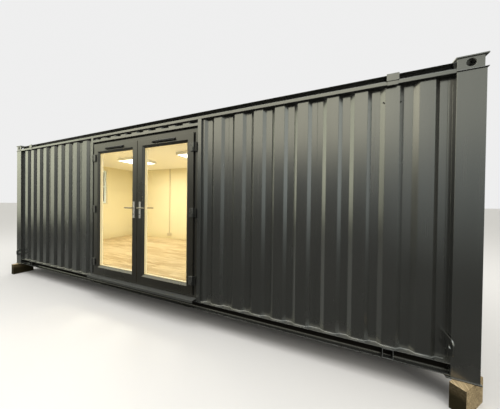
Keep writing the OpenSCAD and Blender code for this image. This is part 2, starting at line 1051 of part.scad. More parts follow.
// Rain drain outlets between the lengths of the front floor rail
module drain_tubes() {
    tube_wall = 4;
    rim = rail_t + tube_wall;
    color(zinc)
        for (mx = [0, 1])
            mirror([mx, 0, 0])
                translate([spout_x, -half_d, rail_z])
                    difference() {
                        translate([-drain_w / 2, 0, 0])
                            cube([drain_w, rail_d, floor_rail_h]);
                        translate([-drain_w / 2 + tube_wall, -1, rim])
                            cube([drain_w - 2 * tube_wall, rail_d - rim + 1, floor_rail_h - 2 * rim]);
                    }
}

light_step = (cabin_l - 2 * lining_in) / 4;

module ceiling_lights() {
    color(white)
        for (i = [-1, 0, 1])
            translate([i * light_step - light_w / 2, -light_w / 2, ceiling_z - light_h])
                cube([light_w, light_w, light_h]);
}

socket_x = -half_l + socket_in;
socket_z = floor_z + socket_up;

// A cable duct on the rear lining with a double socket at its foot
module socket_trunking() {
    duct_w = 25;
    duct_d = 16;
    color(white) {
        translate([socket_x - duct_w / 2, half_d - lining_in - duct_d, socket_z])
            cube([duct_w, duct_d, ceiling_z - socket_z]);
        translate([socket_x - socket_w / 2, half_d - lining_in - 2 * duct_d, socket_z - socket_h])
            cube([socket_w, 2 * duct_d, socket_h]);
    }
}

timber_blocks();
foot_plates();
corner_posts();
corner_blocks();
floor_rails();
floor_joists();
roof_rails();
front_wall_left();
front_wall_right();
front_wall_over_door();
rear_wall();
left_end_wall();
right_end_wall();
roof_sheet();
floor_deck();
floor_covering();
ceiling();
front_lining();
rear_lining();
left_end_lining();
right_end_lining();
door_surround();
door_frame();
door_sill();
frame_hinges();
left_leaf();
left_leaf_glass();
left_leaf_hinges();
left_leaf_vent();
left_handle_plates();
left_lever();
right_leaf();
right_leaf_glass();
right_leaf_hinges();
right_leaf_vent();
right_handle_plates();
right_lever();
window_surround();
window_frame();
window_glass();
lashing_lugs();
rail_brackets();
drain_tubes();
ceiling_lights();
socket_trunking();
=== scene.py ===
import math

import bpy
from mathutils import Matrix, Vector


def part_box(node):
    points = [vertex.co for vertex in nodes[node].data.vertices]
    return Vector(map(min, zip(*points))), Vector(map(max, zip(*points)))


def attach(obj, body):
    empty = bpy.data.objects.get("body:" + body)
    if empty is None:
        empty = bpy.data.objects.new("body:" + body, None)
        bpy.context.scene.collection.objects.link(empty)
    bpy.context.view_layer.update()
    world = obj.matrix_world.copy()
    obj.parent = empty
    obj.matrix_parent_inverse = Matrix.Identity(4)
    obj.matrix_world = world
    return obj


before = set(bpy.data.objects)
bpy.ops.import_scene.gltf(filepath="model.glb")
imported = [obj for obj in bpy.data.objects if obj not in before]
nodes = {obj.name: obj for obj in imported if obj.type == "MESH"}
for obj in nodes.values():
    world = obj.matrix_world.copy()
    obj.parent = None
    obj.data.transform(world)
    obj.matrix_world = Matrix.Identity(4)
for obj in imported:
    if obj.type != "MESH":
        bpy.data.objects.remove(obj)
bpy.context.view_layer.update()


# ---------------------------------------------------------------- camera

def look_through_phone():
    """The wide phone camera, standing in front of the right end of the cabin."""
    picture_w, focal_pixels = 500, 199.744
    data = bpy.data.cameras.new("camera")
    data.sensor_width = 36.0
    data.lens = data.sensor_width * focal_pixels / picture_w
    data.clip_start = 0.05
    camera = bpy.data.objects.new("camera", data)
    bpy.context.scene.collection.objects.link(camera)
    right = Vector((0.92393, 0.38234, 0.01272))
    down = Vector((0.01504, -0.00308, -0.99988))
    ahead = Vector((-0.38226, 0.92401, -0.0086))
    turn = Matrix((right, -down, -ahead)).transposed().to_4x4()
    camera.matrix_world = Matrix.Translation((2.6077, -3.4221, 1.5603)) @ turn
    bpy.context.scene.camera = camera


look_through_phone()


# ---------------------------------------------------------------- materials

class Field:
    """A value or colour that varies over a surface, for use in plain sums."""

    def __init__(self, maker, socket):
        self.maker = maker
        self.socket = socket

    def __add__(self, other):
        return self.maker.maths("ADD", self, other)

    def __sub__(self, other):
        return self.maker.maths("SUBTRACT", self, other)

    def __rsub__(self, other):
        return self.maker.maths("SUBTRACT", other, self)

    def __mul__(self, other):
        return self.maker.maths("MULTIPLY", self, other)

    def __truediv__(self, other):
        return self.maker.maths("DIVIDE", self, other)

    def __pow__(self, other):
        return self.maker.maths("POWER", self, other)

    __radd__ = __add__
    __rmul__ = __mul__


class Finish:
    """A material built from nodes on Object coordinates."""

    def __init__(self, name, owner=None):
        self.material = owner or bpy.data.materials.new(name)
        self.material.use_nodes = True
        self.tree = self.material.node_tree
        self.tree.nodes.clear()
        self.place = None

    def node(self, kind, settings=None, sockets=None, out=0):
        made = self.tree.nodes.new(kind)
        for key, value in (settings or {}).items():
            setattr(made, key, value)
        for key, value in (sockets or {}).items():
            if isinstance(value, Field):
                self.tree.links.new(value.socket, made.inputs[key])
            elif value is not None:
                if isinstance(value, tuple) and len(value) == 3 and made.inputs[key].type == "RGBA":
                    value = (*value, 1)
                made.inputs[key].default_value = value
        return Field(self, made.outputs[out])

    def maths(self, operation, *values):
        return self.node("ShaderNodeMath", {"operation": operation}, dict(enumerate(values)))

    def where(self, scale=(1, 1, 1)):
        """Object coordinates in metres, stretched by scale."""
        if self.place is None:
            self.place = self.node("ShaderNodeTexCoord", out="Object")
        if scale == (1, 1, 1):
            return self.place
        return self.node("ShaderNodeMapping", None, {"Vector": self.place, "Scale": scale})

    def axis(self, name):
        return self.node("ShaderNodeSeparateXYZ", None, {0: self.where()}, out=name)

    def facing(self, name):
        """How far the surface faces along an axis, from -1 to 1."""
        normal = self.node("ShaderNodeTexCoord", out="Normal")
        return self.node("ShaderNodeSeparateXYZ", None, {0: normal}, out=name)

    def noise(self, size, detail=3.0, rough=0.5, stretch=(1, 1, 1)):
        """Soft noise whose patches are about size metres across."""
        return self.node("ShaderNodeTexNoise", None, {
            "Vector": self.where(stretch), "Scale": 1.0 / size, "Detail": detail, "Roughness": rough})

    def between(self, value, low, high, start=0.0, end=1.0):
        """Follows value from low to high and is flat outside."""
        return self.node("ShaderNodeMapRange", {"interpolation_type": "SMOOTHSTEP"},
                         {0: value, 1: low, 2: high, 3: start, 4: end})

    def above(self, value, edge, blend=0.0001):
        """1 where value is above the edge and 0 below it."""
        return self.between(value, edge - blend, edge + blend)

    def below(self, value, edge, blend=0.0001):
        return self.between(value, edge + blend, edge - blend)

    def mix(self, share, first, second):
        return self.node("ShaderNodeMix", {"data_type": "RGBA"}, {0: share, 6: first, 7: second}, out=2)

    def glow(self, colour, amount):
        return self.node("ShaderNodeVectorMath", {"operation": "SCALE"}, {0: colour, 3: amount})

    def both(self, first, second):
        return self.node("ShaderNodeVectorMath", {"operation": "ADD"}, {0: first, 1: second})

    def bump(self, height, depth, strength=1.0, under=None):
        return self.node("ShaderNodeBump", None,
                         {"Strength": strength, "Distance": depth, "Height": height, "Normal": under})

    def soft_edge(self, radius):
        return self.node("ShaderNodeBevel", {"samples": 4}, {"Radius": radius})

    def done(self, **sockets):
        """Ends the material in one glossy shader, whose sockets are given by name."""
        return self.ended(self.shader(**sockets))

    def shader(self, **sockets):
        named = {}
        for key, value in sockets.items():
            named[key.replace("_", " ").title().replace("Ior", "IOR")] = value
        return self.node("ShaderNodeBsdfPrincipled", None, named)

    def ended(self, shader, output="ShaderNodeOutputMaterial"):
        end = self.tree.nodes.new(output)
        self.tree.links.new(shader.socket, end.inputs["Surface"])
        return self.material


enamel_dark, enamel_light = (0.027, 0.028, 0.026), (0.035, 0.036, 0.033)
enamel_ior = 2.4
window_change_x = -3.598    # the end window and its surround are dark outside of this and pale inside


def grey_steel_paint():
    """Dark grey gloss enamel, with runs down the sheets and dust near the floor rail."""
    f = Finish("grey_steel_paint")
    patches = f.noise(0.9, 4.0)
    runs = f.noise(0.05, 3.0, stretch=(1, 1, 0.04))
    peel = f.noise(0.02, 2.0)
    waves = f.noise(0.35, 1.0, stretch=(1, 1, 0.3))
    x, y, z = (f.axis(name) for name in "XYZ")
    dust_low, dust_high = 0.24, 0.5
    dust = f.between(z, dust_high, dust_low) * f.between(f.noise(0.3, 5.0, 0.6), 0.45, 0.8)
    tone = f.mix(patches, enamel_dark, enamel_light)
    tone = f.mix(dust * 0.15, tone, (0.1, 0.09, 0.075))
    # The end window's surround is cream on the room's side.
    lining_x, half_room, below_window, above_window = -3.505, 1.245, 1.405, 2.495
    indoors = f.above(x, window_change_x) * f.below(x, lining_x, 0.005)
    indoors = indoors * f.below(y, half_room, 0.005) * f.above(y, -half_room, 0.005)
    indoors = indoors * f.above(z, below_window, 0.005) * f.below(z, above_window, 0.005)
    tone = f.mix(indoors, tone, (0.8, 0.72, 0.5))
    rough = f.between(patches, 0.3, 0.7, 0.2, 0.26) + f.between(runs, 0.5, 0.8) * 0.05 + dust * 0.15
    bumps = f.bump(waves, 0.012, 0.1, f.soft_edge(0.006))
    bumps = f.bump(peel, 0.0008, 0.1, f.bump(runs, 0.002, 0.07, bumps))
    return f.done(base_color=tone, roughness=rough, ior=enamel_ior, normal=bumps)


def rail_paint():
    """The same enamel on the channels of the foot. Inside the channel it is near black and matt: painted shade
    under the top flange.
    """
    f = Finish("rail_paint")
    patches = f.noise(0.5, 4.0)
    grit = f.noise(0.01, 4.0)
    across, along = f.maths("ABSOLUTE", f.axis("Y")), f.maths("ABSOLUTE", f.axis("X"))
    height = f.axis("Z")
    channel_out, channel_end, channel_foot, channel_top = 1.367, 3.653, 0.2315, 0.307
    inside = f.below(across, channel_out, 0.003) * f.below(along, channel_end, 0.003)
    inside = inside * f.above(height, channel_foot, 0.0045) * f.below(height, channel_top, 0.0005)
    gloss = f.shader(base_color=f.mix(patches, enamel_dark, enamel_light), ior=enamel_ior,
                     roughness=f.between(patches, 0.3, 0.7, 0.22, 0.3),
                     normal=f.bump(grit, 0.0005, 0.15, f.soft_edge(0.003)))
    # Painted shade: the inside of the channel is near black, for the shade under its top flange.
    channel_shade = f.shader(base_color=f.mix(grit, (0.006, 0.006, 0.005), (0.016, 0.014, 0.012)), roughness=0.9,
                    ior=1.1)
    return f.ended(f.node("ShaderNodeMixShader", None, {0: inside, 1: gloss, 2: channel_shade}))


def sill_paint():
    """Satin grey on the folded sill, scuffed along its front edge."""
    f = Finish("sill_paint")
    cloud = f.noise(0.3, 4.0)
    scuffs = f.noise(0.02, 4.0, 0.6, stretch=(0.15, 1, 1))
    tone = f.mix(cloud, (0.058, 0.06, 0.057), (0.072, 0.074, 0.07))
    tone = f.mix(f.between(scuffs, 0.62, 0.75) * 0.4, tone, (0.12, 0.12, 0.11))
    return f.done(base_color=tone, roughness=f.between(cloud, 0.3, 0.7, 0.45, 0.55), ior=1.5,
                  normal=f.bump(scuffs, 0.0005, 0.2, f.soft_edge(0.003)))


def door_coating(name, change_y):
    """Dark grey foil outside and white plastic inside. They meet at change_y."""
    f = Finish(name)
    grain = f.noise(0.0015, 1.0)
    cloud = f.noise(0.4, 3.0)
    inside = f.above(f.axis("Y"), change_y)
    grey = f.mix(cloud, (0.022, 0.02, 0.015), (0.028, 0.026, 0.02))
    white = f.mix(cloud, (0.82, 0.8, 0.7), (0.87, 0.85, 0.76))
    # The rebate behind the pane's edge has a painted glow, standing in for the room's light that the glass
    # carries there.
    rebate_out, rebate_in = -1.3561, -1.3119
    rebate = f.above(f.axis("Y"), rebate_out) * f.below(f.axis("Y"), rebate_in)
    return f.done(base_color=f.mix(inside, grey, white), ior=1.85,
                  roughness=f.between(cloud, 0.3, 0.7, 0.26, 0.34),
                  emission_color=f.mix(rebate, (0, 0, 0), (1.0, 0.76, 0.34)), emission_strength=0.42,
                  normal=f.bump(grain, 0.0002, 0.2, f.soft_edge(0.003)))


def vent_plastic():
    """The hood's upper third is grey like the door. Below it a row of black slots: painted shade for the
    shadowed openings under the hood.
    """
    f = Finish("vent_plastic")
    cloud = f.noise(0.1, 3.0)
    pitch, open_share, slot_top = 0.008, 0.85, 2.397
    along = f.maths("FRACT", f.axis("X") / pitch)
    # Painted shade: the slots are near black, for the shadow inside the openings.
    slot_shade = f.below(f.axis("Z"), slot_top, 0.0005) * f.between(along, open_share + 0.05, open_share)
    grey = f.mix(cloud, (0.13, 0.13, 0.12), (0.15, 0.15, 0.14))
    tone = f.mix(slot_shade, grey, (0.003, 0.003, 0.003))
    return f.done(base_color=tone, roughness=0.35 + slot_shade * 0.5, ior=1.25,
                  normal=f.bump(1 - slot_shade, 0.002, 0.5, f.soft_edge(0.002)))


def window_coating():
    """Grey outside, cool white on the room's side."""
    f = Finish("window_coating")
    cloud = f.noise(0.3, 3.0)
    inside = f.above(f.axis("X"), window_change_x)
    tone = f.mix(cloud, (0.034, 0.034, 0.032), (0.044, 0.044, 0.041))
    tone = f.mix(inside, tone, f.mix(cloud, (0.78, 0.9, 0.98), (0.82, 0.93, 1.0)))
    return f.done(base_color=tone, roughness=f.between(cloud, 0.3, 0.7, 0.3, 0.4), normal=f.soft_edge(0.003))


def hinge_shade_paint():
    """Satin black on the hinge halves of the frame, as painted shade for the shadow they sit in."""
    f = Finish("hinge_shade_paint")
    cloud = f.noise(0.05, 3.0)
    tone = f.mix(cloud, (0.008, 0.008, 0.008), (0.016, 0.016, 0.015))
    return f.done(base_color=tone, roughness=f.between(cloud, 0.3, 0.7, 0.35, 0.5), normal=f.soft_edge(0.002))


def grey_hinge_paint():
    """Grey on the hinge halves of the leaves, with black painted shade on the faces that point right."""
    f = Finish("grey_hinge_paint")
    cloud = f.noise(0.05, 3.0)
    # Painted shade: the faces turned to the right are near black.
    right = f.between(f.facing("X"), 0.2, 0.5)
    tone = f.mix(right, f.mix(cloud, (0.05, 0.05, 0.046), (0.065, 0.065, 0.06)), (0.005, 0.005, 0.005))
    return f.done(base_color=tone, roughness=f.between(cloud, 0.3, 0.7, 0.25, 0.35), ior=1.8,
                  normal=f.soft_edge(0.009))


def black_rubber_and_shade():
    # One finish for real black rubber and for the black painted shade in the gaps round the door frame.
    f = Finish("black_rubber_and_shade")
    grain = f.noise(0.002, 2.0)
    tone = f.mix(grain, (0.004, 0.004, 0.004), (0.009, 0.009, 0.009))
    return f.done(base_color=tone, roughness=f.between(grain, 0.2, 0.8, 0.6, 0.8), specular_ior_level=0.2,
                  normal=f.bump(grain, 0.0002, 0.3))


def clear_pane():
    """Clear glass, which shines more at a slant."""
    f = Finish("clear_pane")
    through = f.node("ShaderNodeBsdfTransparent", None, {"Color": (0.97, 0.98, 0.96)})
    shine = f.node("ShaderNodeBsdfPrincipled", None, {
        "Base Color": (0.0, 0.0, 0.0), "Roughness": 0.02, "Specular IOR Level": 1.0, "Coat Weight": 1.0})
    slant = f.node("ShaderNodeLayerWeight", None, {"Blend": 0.5}, out="Facing")
    return f.ended(f.node("ShaderNodeMixShader", None, {0: 0.05 + slant ** 4.0 * 0.4, 1: through, 2: shine}))


def faced_board(name, dark, light, smooth, rough):
    """Faced lining boards with a faint weave."""
    f = Finish(name)
    cloud = f.noise(0.8, 3.0)
    weave = f.noise(0.004, 2.0)
    return f.done(base_color=f.mix(cloud, dark, light), roughness=f.between(cloud, 0.3, 0.7, smooth, rough),
                  specular_ior_level=0.3, normal=f.bump(weave, 0.0003, 0.2))


def oak_planks():
    """Pale oak laminate. Each row of planks starts 0.37 of a plank after the last."""
    f = Finish("oak_planks")
    plank_w, plank_l, row_shift = 0.19, 1.28, 0.37
    row = f.axis("Y") / plank_w
    number = f.maths("FLOOR", row)
    along = f.axis("X") / plank_l + number * row_shift
    board = f.maths("FLOOR", along)
    spot = f.node("ShaderNodeCombineXYZ", None, {0: board, 1: number, 2: 0.0})
    chance = f.node("ShaderNodeTexWhiteNoise", {"noise_dimensions": "3D"}, {0: spot})
    grain = f.noise(0.03, 6.0, 0.6, stretch=(0.1, 1, 1))
    figure = f.noise(0.12, 4.0, 0.7, stretch=(0.16, 1, 1))
    tone = f.mix(f.between(grain, 0.35, 0.65), (0.44, 0.3, 0.15), (0.84, 0.7, 0.47))
    tone = f.mix(f.between(figure, 0.45, 0.62, 0, 0.75), tone, (0.42, 0.28, 0.14))
    tone = f.mix(f.between(chance, 0, 1, 0, 0.45), tone, (0.86, 0.73, 0.5))
    gap = f.between(f.maths("FRACT", row), 0.0, 0.03, 1, 0)
    gap = gap + f.between(f.maths("FRACT", along), 0.0, 0.005, 1, 0)
    tone = f.mix(gap * 0.7, tone, (0.26, 0.15, 0.07))
    return f.done(base_color=tone, roughness=f.between(grain, 0, 1, 0.32, 0.45), specular_ior_level=0.4,
                  normal=f.bump(grain * 0.4 - gap, 0.001, 0.4))


def sawn_timber():
    """Old sawn timber: pale faces and dark checks along the grain, with painted shade on the faces turned from
    the light.
    """
    f = Finish("sawn_timber")
    grain = f.noise(0.012, 6.0, 0.65, stretch=(1, 0.06, 1))
    checks = f.noise(0.03, 5.0, 0.6, stretch=(1, 0.04, 1))
    cloud = f.noise(0.12, 4.0)
    tone = f.mix(f.between(grain, 0.3, 0.7), (0.27, 0.2, 0.105), (0.66, 0.52, 0.31))
    tone = f.mix(f.between(cloud, 0.42, 0.68) * 0.45, tone, (0.26, 0.2, 0.115))
    tone = f.mix(f.between(checks, 0.6, 0.68) * 0.85, tone, (0.03, 0.02, 0.012))
    # Painted light and shade: only the faces towards the right, at the right end, keep the pale tone as lit
    # faces. The others, except the tops, get painted shade, darker towards the bottom.
    lit_end_x, shade_low, shade_high = -3.1, 0.1, 0.17
    lit_face = f.between(f.facing("X"), 0.1, 0.4) * f.above(f.axis("X"), lit_end_x, 0.1)
    timber_shade = (1 - lit_face) * f.between(f.facing("Z"), 0.6, 0.3)
    depth = 0.8 + f.between(f.axis("Z"), shade_high, shade_low) * 0.17
    tone = f.mix(timber_shade * depth, tone, (0.015, 0.012, 0.004))
    return f.done(base_color=tone, roughness=f.between(grain, 0.2, 0.8, 0.75, 0.9), specular_ior_level=0.2,
                  normal=f.bump(grain - checks, 0.006, 0.7))


def moulded_plastic(name, dark, light, smooth, rough):
    """Plastic whose tone and gloss vary a little between two values."""
    f = Finish(name)
    cloud = f.noise(0.3, 2.0)
    return f.done(base_color=f.mix(cloud, dark, light), roughness=f.between(cloud, 0.3, 0.7, smooth, rough))


def light_panel():
    """White metal housing with a glowing prismatic sheet underneath."""
    f = Finish("light_panel")
    prism = f.noise(0.01, 1.0)
    under = f.between(f.facing("Z"), -0.6, -0.9)
    colour = f.mix(under, (0, 0, 0), (1.0, 0.99, 0.95))
    return f.done(base_color=(0.88, 0.87, 0.82), roughness=f.between(prism, 0.2, 0.8, 0.35, 0.45),
                  emission_color=colour, emission_strength=3.0, normal=f.bump(prism, 0.0005, 0.2))


def satin_chrome(name, dark, bright, metal):
    """Plated metal between two tones, brushed upright."""
    f = Finish(name)
    brush = f.noise(0.002, 3.0, stretch=(1, 1, 0.1))
    return f.done(base_color=f.mix(brush, dark, bright), metallic=metal,
                  roughness=f.between(brush, 0.2, 0.8, 0.22, 0.34), normal=f.bump(brush, 0.0001, 0.3))


def dull_zinc():
    """Zinc plating with its flakes."""
    f = Finish("dull_zinc")
    flake = f.node("ShaderNodeTexVoronoi", None, {"Vector": f.where(), "Scale": 90.0})
    tone = f.mix(flake, (0.2, 0.21, 0.21), (0.34, 0.35, 0.35))
    return f.done(base_color=tone, metallic=0.7, roughness=f.between(flake, 0, 1, 0.4, 0.55))


paint = grey_steel_paint()
rail = rail_paint()
frame_coating = door_coating("frame_coating", -1.3425)
leaf_coating = door_coating("leaf_coating", -1.3564)
vent_grey = vent_plastic()
window_grey = window_coating()
hinge_shade = hinge_shade_paint()
hinge_grey = grey_hinge_paint()
rubber_and_shade = black_rubber_and_shade()
pane = clear_pane()
board = faced_board("wall_board", (0.85, 0.77, 0.51), (0.88, 0.8, 0.55), 0.45, 0.55)
ceiling = faced_board("ceiling_board", (0.91, 0.87, 0.7), (0.94, 0.9, 0.75), 0.5, 0.6)
oak = oak_planks()
timber = sawn_timber()
white = moulded_plastic("white_plastic", (0.8, 0.77, 0.66), (0.86, 0.83, 0.73), 0.28, 0.36)
panel = light_panel()
duct = moulded_plastic("duct_plastic", (0.58, 0.5, 0.34), (0.66, 0.58, 0.4), 0.35, 0.45)
plate_chrome = satin_chrome("plate_chrome", (0.8, 0.78, 0.72), (0.92, 0.9, 0.84), 0.45)
# The levers are darker than the plates' chrome: painted shade, for levers seen dark against the lit glass.
lever_chrome_shaded = satin_chrome("lever_chrome_shaded", (0.3, 0.28, 0.23), (0.4, 0.38, 0.32), 1.0)
zinc = dull_zinc()

# Every node that isn't named here is steel in the cabin's paint.
node_finish = {
    "timber_blocks": timber, "floor_deck": timber, "floor_covering": oak, "ceiling": ceiling,
    "front_lining": board, "rear_lining": board, "left_end_lining": board, "right_end_lining": board,
    "ceiling_lights": panel, "socket_trunking": duct, "floor_rails": rail, "drain_tubes": rail,
    "door_sill": sill_paint(), "door_frame": frame_coating, "frame_hinges": hinge_shade,
    "window_frame": window_grey, "window_glass": pane,
}
for side in ("left", "right"):
    node_finish[side + "_leaf"] = leaf_coating
    node_finish[side + "_leaf_hinges"] = hinge_grey
    node_finish[side + "_leaf_vent"] = vent_grey
    node_finish[side + "_leaf_glass"] = pane
    node_finish[side + "_handle_plates"] = plate_chrome
    node_finish[side + "_lever"] = lever_chrome_shaded
for name, obj in nodes.items():
    for slot in obj.material_slots:
        slot.material = node_finish.get(name, paint)


# ---------------------------------------------------------------- making pieces

def begin():
    bpy.ops.object.select_all(action="DESELECT")


def started(name):
    """Names the shape just added."""
    piece = bpy.context.active_object
    piece.name = piece.data.name = name
    bpy.ops.object.transform_apply(location=True, rotation=True, scale=True)
    return piece


def block(name, low, high):
    begin()
    low, high = Vector(low), Vector(high)
    bpy.ops.mesh.primitive_cube_add(size=1, location=(low + high) / 2, scale=high - low)
    return started(name)


def choose(piece, kind, test):
    """Opens the mesh with the faces or edges selected that pass the test."""
    bpy.ops.object.mode_set(mode="EDIT")
    bpy.ops.mesh.select_mode(type=kind)
    bpy.ops.mesh.select_all(action="DESELECT")
    bpy.ops.object.mode_set(mode="OBJECT")
    if kind == "FACE":
        for face in piece.data.polygons:
            face.select = test(face.center, face.normal)
    else:
        points = piece.data.vertices
        for edge in piece.data.edges:
            first, second = (points[i].co for i in edge.vertices)
            edge.select = test((first + second) / 2, (second - first).normalized())
    bpy.ops.object.mode_set(mode="EDIT")


def finished(piece, material, body):
    """Closes the mesh, and gives the piece its finish and the body that it moves with."""
    bpy.ops.object.mode_set(mode="EDIT")
    bpy.ops.mesh.select_all(action="SELECT")
    bpy.ops.mesh.normals_make_consistent(inside=False)
    bpy.ops.object.mode_set(mode="OBJECT")
    bpy.ops.object.shade_smooth_by_angle(angle=math.radians(35))
    piece.data.materials.append(material)
    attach(piece, body)
    return piece


def copied(piece, shift, body):
    """A copy of a finished piece with its own mesh."""
    twin = piece.copy()
    twin.data = piece.data.copy()
    bpy.context.scene.collection.objects.link(twin)
    twin.parent = None
    twin.matrix_world = Matrix.Identity(4)
    twin.data.transform(Matrix.Translation(shift))
    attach(twin, body)
    return twin


def strip(name, low, high, material, body, edge=0.001):
    """A flat strip whose long edges are rounded."""
    piece = block(name, low, high)
    size = [b - a for a, b in zip(low, high)]
    run = size.index(max(size))
    choose(piece, "EDGE", lambda spot, way: abs(way[run]) > 0.9)
    bpy.ops.mesh.bevel(offset=edge, segments=2)
    return finished(piece, material, body)


def ring(name, low, high, width, across, material, body):
    """A flat rectangular ring between two corners, as wide as given, thin along one axis."""
    begin()
    low, high = Vector(low), Vector(high)
    depth = high[across] - low[across]
    turn = [(0, math.pi / 2, 0), (math.pi / 2, 0, 0), (0, 0, 0)][across]
    middle = (low + high) / 2
    middle[across] = low[across]
    bpy.ops.mesh.primitive_plane_add(size=1, location=middle, rotation=turn)
    piece = started(name)
    size = high - low
    size[across] = 1
    choose(piece, "FACE", lambda spot, way: True)
    bpy.ops.transform.resize(value=size, center_override=middle)
    bpy.ops.mesh.inset(thickness=width, depth=0)
    bpy.ops.mesh.delete(type="FACE")
    bpy.ops.mesh.select_all(action="SELECT")
    push = Vector((0, 0, 0))
    push[across] = depth
    bpy.ops.mesh.extrude_region_move(TRANSFORM_OT_translate={"value": push})
    return finished(piece, material, body)


# ---------------------------------------------------------------- steelwork

rail_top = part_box("floor_rails")[1].z
roof_rail_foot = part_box("roof_rails")[0].z


def foot_line(node, run, out):
    """Points along the outer foot of a wall sheet. run is the axis along it and out the side that it faces."""
    line = {}
    for vertex in nodes[node].data.vertices:
        if vertex.co.z < rail_top + 0.001:
            spot = round(vertex.co[run], 4)
            line[spot] = max(line.get(spot, -9), vertex.co[1 - run] * out)
    return [(spot, line[spot] * out) for spot in sorted(line)]


def along_wall(run, spot, depth, height):
    return Vector((spot, depth, height) if run == 0 else (depth, spot, height))


def foot_bead(node, run, out):
    """The painted weld between a wall sheet's foot and the floor rail, which follows every ridge."""
    radius, proud, lift = 0.009, 0.002, 0.001
    line = [along_wall(run, spot, depth + proud * out, rail_top + lift)
            for spot, depth in foot_line(node, run, out)]
    begin()
    turn = (0, math.pi / 2, 0) if run == 0 else (math.pi / 2, 0, 0)
    bpy.ops.mesh.primitive_circle_add(vertices=8, radius=radius, fill_type="NGON", location=line[0],
                                      rotation=turn)
    piece = started(node + "_foot_bead")
    choose(piece, "FACE", lambda spot, way: True)
    for here, there in zip(line, line[1:]):
        bpy.ops.mesh.extrude_region_move(TRANSFORM_OT_translate={"value": there - here})
    return finished(piece, paint, "cabin")


def sheet_seams(node, run, out):
    """The upright welds where two wall sheets meet, in the wider valleys."""
    width, proud, narrow_valley = 0.007, 0.0018, 0.09
    line = foot_line(node, run, out)
    deepest = min(depth * out for spot, depth in line)
    for (spot, depth), (after, after_depth) in zip(line[1:-2], line[2:-1]):
        if max(depth * out, after_depth * out) < deepest + 0.001 and after - spot > narrow_valley:
            middle = (spot + after) / 2
            corners = [along_wall(run, middle - width / 2, depth - 0.001 * out, rail_top),
                       along_wall(run, middle + width / 2, depth + proud * out, roof_rail_foot)]
            low = [min(pair) for pair in zip(*corners)]
            high = [max(pair) for pair in zip(*corners)]
            strip(node + "_seam", low, high, paint, "cabin", 0.0008)


for wall, run, out in (("front_wall_left", 0, -1), ("front_wall_right", 0, -1), ("rear_wall", 0, 1),
                       ("left_end_wall", 1, -1), ("right_end_wall", 1, 1)):
    foot_bead(wall, run, out)
    sheet_seams(wall, run, out)


def drain_rim_highlights():
    """A bright zinc ring round the mouth of each rain outlet: a painted highlight for the light on the rim's
    edge.
    """
    low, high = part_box("drain_tubes")
    width, inset = 0.082, 0.005
    first = ring("drain_rim_highlight", (high.x - width, low.y - 0.0015, low.z + inset),
                 (high.x, low.y + 0.0005, high.z - inset), 0.004, 1, zinc, "cabin")
    copied(first, (low.x + width - high.x, 0, 0), "cabin")


drain_rim_highlights()


def wall_plug(x, z):
    """A black plug in a small hole near the top of the front wall."""
    line = foot_line("front_wall_right", 0, -1)
    face = min((abs(spot - x), depth) for spot, depth in line)[1]
    begin()
    bpy.ops.mesh.primitive_cylinder_add(vertices=16, radius=0.006, depth=0.006, location=(x, face, z),
                                        rotation=(math.pi / 2, 0, 0))
    piece = started("wall_plug")
    choose(piece, "FACE", lambda spot, way: way.y < -0.9)
    bpy.ops.mesh.bevel(offset=0.002, segments=2)
    return finished(piece, rubber_and_shade, "cabin")


for plug_x, plug_z in ((3.008, 2.455), (3.134, 2.443)):
    wall_plug(plug_x, plug_z)


# ---------------------------------------------------------------- doorway

frame_low, frame_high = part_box("door_frame")
leaf_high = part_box("right_leaf")[1]
glass_low, glass_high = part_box("right_leaf_glass")
plate_low, plate_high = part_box("right_handle_plates")
header_foot_z = 2.514
door_post_w = 0.05
doorway_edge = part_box("door_surround")[1].x - door_post_w


def frame_gap_shade():
    """Black strips on the frame beside and above the leaves, and a black strip under the header: painted shade
    for the shadowed gaps there. Mastic between frame and steelwork, in the frame's grey on the right and black
    as painted shade on the left.
    """
    face = frame_low.y
    proud, sunk, edge = 0.0015, 0.0005, 0.0005
    near, foot = leaf_high.x + 0.001, frame_low.z + 0.03
    # Painted shade: on the left the whole frame strip and the mastic are black, on the right only a strip beside
    # the leaf.
    for side, far, mastic_and_shade in ((-1, frame_high.x, rubber_and_shade), (1, leaf_high.x + 0.02, frame_coating)):
        low_x, high_x = sorted((side * near, side * far))
        strip("frame_strip_shade", (low_x, face - proud, foot), (high_x, face + sunk, leaf_high.z),
              rubber_and_shade, "cabin", edge)
        low_x, high_x = sorted((side * frame_high.x, side * doorway_edge))
        strip("frame_mastic_and_shade", (low_x, face - 0.001, frame_low.z), (high_x, face + 0.03, frame_high.z),
              mastic_and_shade, "cabin", edge)
    strip("head_strip_shade", (frame_low.x, face - proud, frame_high.z - 0.008),
          (frame_high.x, face + sunk, frame_high.z), rubber_and_shade, "cabin", edge)
    strip("head_filler_shade", (-doorway_edge, face + 0.016, frame_high.z), (doorway_edge, face + 0.05, header_foot_z),
          rubber_and_shade, "cabin", 0.002)


frame_gap_shade()


def pane_gaskets(side, body):
    """Rubber round the glass, outside."""
    bead, proud, width = 0.026, 0.002, 0.003
    near, far = sorted((side * (glass_low.x + bead), side * (glass_high.x - bead)))
    ring("pane_gasket", (near, glass_low.y - proud, glass_low.z + bead),
         (far, glass_low.y, glass_high.z - bead), width, 1, rubber_and_shade, body)


